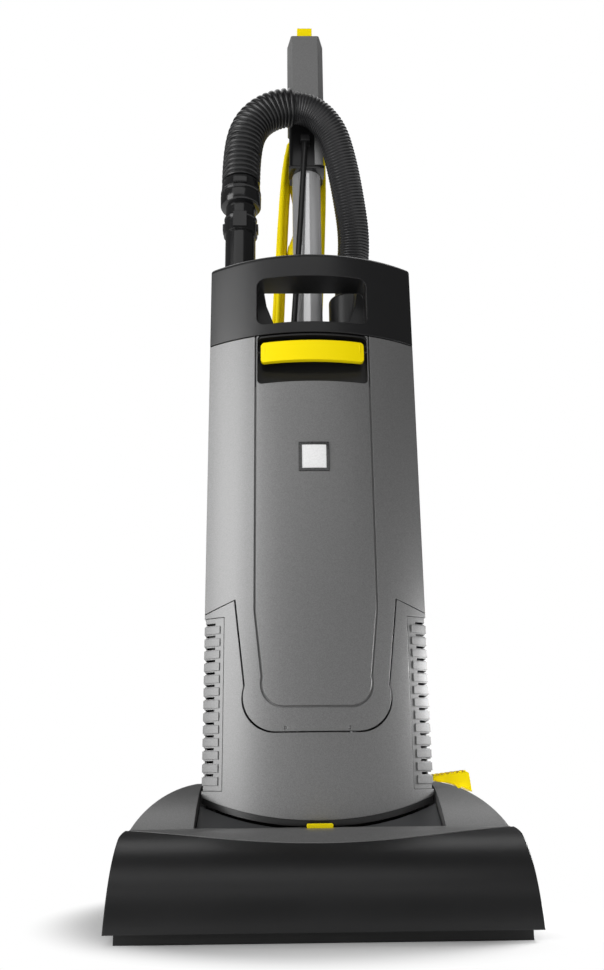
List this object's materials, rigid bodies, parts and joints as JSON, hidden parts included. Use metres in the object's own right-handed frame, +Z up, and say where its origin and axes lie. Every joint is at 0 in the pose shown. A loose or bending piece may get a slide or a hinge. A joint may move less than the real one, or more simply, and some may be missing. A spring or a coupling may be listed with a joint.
{
  "type": "upright vacuum cleaner",
  "caption": "Commercial upright vacuum cleaner with a powered brush head, a tilting body with a front bag door, a suction wand with hose, and a wound mains cord on a tubular handle.",
  "frame": {"origin": "on the floor under the centre of the bounding box, with the machine standing upright", "axes": "+Z up, the brush cover at the front faces -Y, +X to the right seen from the front"},
  "size_m": [0.39, 0.34, 1.22],
  "materials": {
    "metallic_grey": "fine metallic speckle, satin",
    "dark_grey": "fine grain, matt",
    "black_satin": "satin with a fine grain",
    "black_gloss": "glossy",
    "hose_black": "ribbed, satin",
    "yellow": "satin",
    "cord_yellow": "satin PVC",
    "cable_black": "satin PVC",
    "chrome_tube": "polished",
    "steel": "plain",
    "badge_plate": "white with a dark edge",
    "black_inner": "plain moulding",
    "tyre_rubber": "soft grey tread",
    "bearing_bronze": "sintered bush",
    "motor_metal": "grey enamel",
    "bristle_nylon": "nylon",
    "bag_fleece": "non-woven fleece",
    "filter_foam": "pleated filter"
  },
  "bodies": {
    "head": {"sole_plate": "black_inner", "head_base": "black_inner", "head_housing": "metallic_grey", "neck_panel": "dark_grey", "brush_cover": "black_satin", "brush_motor": "motor_metal", "drive_belt": "cable_black", "wheel_axle": "steel", "sole_screws": "steel", "brush_bearings": "bearing_bronze", "pedal_spring": "steel"},
    "brush": {"brush_core": "black_inner", "brush_bristles": "bristle_nylon", "brush_pulley": "black_inner"},
    "motor_rotor": {"motor_rotor": "steel"},
    "wheel_right": {"wheel_right_tyre": "tyre_rubber", "wheel_right_hub": "black_inner"},
    "wheel_left": {"wheel_left_tyre": "tyre_rubber", "wheel_left_hub": "black_inner"},
    "pedal": {"recline_pedal": "yellow"},
    "cover_release": {"release_button": "yellow"},
    "body": {"lower_housing": "metallic_grey", "louvre_right": "metallic_grey", "louvre_left": "metallic_grey", "base_seal": "cable_black", "back_shell": "metallic_grey", "trunnions": "black_inner", "top_cover": "black_satin", "wand_holder": "black_satin", "hose_port": "black_satin", "suction_motor": "motor_metal", "motor_shelf": "black_inner", "dust_duct": "black_inner", "bag_port": "black_inner", "filter_bag": "bag_fleece", "exhaust_filters": "filter_foam", "handle_tube": "chrome_tube", "tube_clamps": "black_satin", "grip_collar": "black_satin", "grip_front": "metallic_grey", "grip_loop": "metallic_grey", "cord_hook_upper": "black_satin", "cord_hook_lower": "black_satin", "strain_relief": "cable_black", "cord_hank": "cord_yellow", "cord_lead": "cord_yellow", "cord_tail": "cord_yellow", "plug": "cord_yellow", "switch_cable": "cable_black", "suction_hose": "hose_black", "antikink_sleeve": "hose_black", "door_hinge_pin": "steel"},
    "switch": {"switch_button": "yellow"},
    "door": {"bag_door": "metallic_grey", "centre_panel": "metallic_grey", "badge": "badge_plate", "latch_cup": "black_satin"},
    "latch": {"door_latch": "yellow"},
    "wand": {"wand_tube": "black_gloss", "hose_cuff": "black_satin"}
  },
  "joints": [
    {"name": "body_recline", "type": "hinge", "parent": "head", "child": "body", "pos_m": [0, 0.038, 0.075], "axis": [-1, 0, 0], "range_deg": [0, 75]},
    {"name": "brush_spin", "type": "hinge", "parent": "head", "child": "brush", "pos_m": [0, -0.113, 0.033], "axis": [1, 0, 0], "continuous": true},
    {"name": "motor_spin", "type": "hinge", "parent": "head", "child": "motor_rotor", "pos_m": [0, -0.041, 0.05], "axis": [1, 0, 0], "continuous": true},
    {"name": "wheel_right_spin", "type": "hinge", "parent": "head", "child": "wheel_right", "pos_m": [0.15, 0.13, 0.04], "axis": [1, 0, 0], "continuous": true},
    {"name": "wheel_left_spin", "type": "hinge", "parent": "head", "child": "wheel_left", "pos_m": [-0.15, 0.13, 0.04], "axis": [1, 0, 0], "continuous": true},
    {"name": "pedal_press", "type": "hinge", "parent": "head", "child": "pedal", "pos_m": [0.158, 0.09, 0.098], "axis": [-1, 0, 0], "range_deg": [0, 14], "stiffness_Nm_per_rad": 1, "springref_deg": -5.73},
    {"name": "cover_release_press", "type": "slide", "parent": "head", "child": "cover_release", "axis": [0, 0, -1], "range_m": [0, 0.003], "stiffness_N_per_m": 200, "springref_m": -0.001},
    {"name": "switch_press", "type": "slide", "parent": "body", "child": "switch", "axis": [0, 0, -1], "range_m": [0, 0.003], "stiffness_N_per_m": 300, "springref_m": -0.001},
    {"name": "door_open", "type": "hinge", "parent": "body", "child": "door", "pos_m": [0, -0.073, 0.188], "axis": [1, 0, 0], "range_deg": [0, 60]},
    {"name": "latch_pull", "type": "hinge", "parent": "door", "child": "latch", "pos_m": [0, -0.062, 0.615], "axis": [-1, 0, 0], "range_deg": [0, 20], "stiffness_Nm_per_rad": 0.3, "springref_deg": -5.73},
    {"name": "wand_lift", "type": "slide", "parent": "body", "child": "wand", "axis": [0, 0, 1], "range_m": [0, 0.06], "deforming": ["suction_hose", "antikink_sleeve"]}
  ],
  "couplings": [
    {"joint": "motor_spin", "follows": "brush_spin", "ratio": 2}
  ]
}
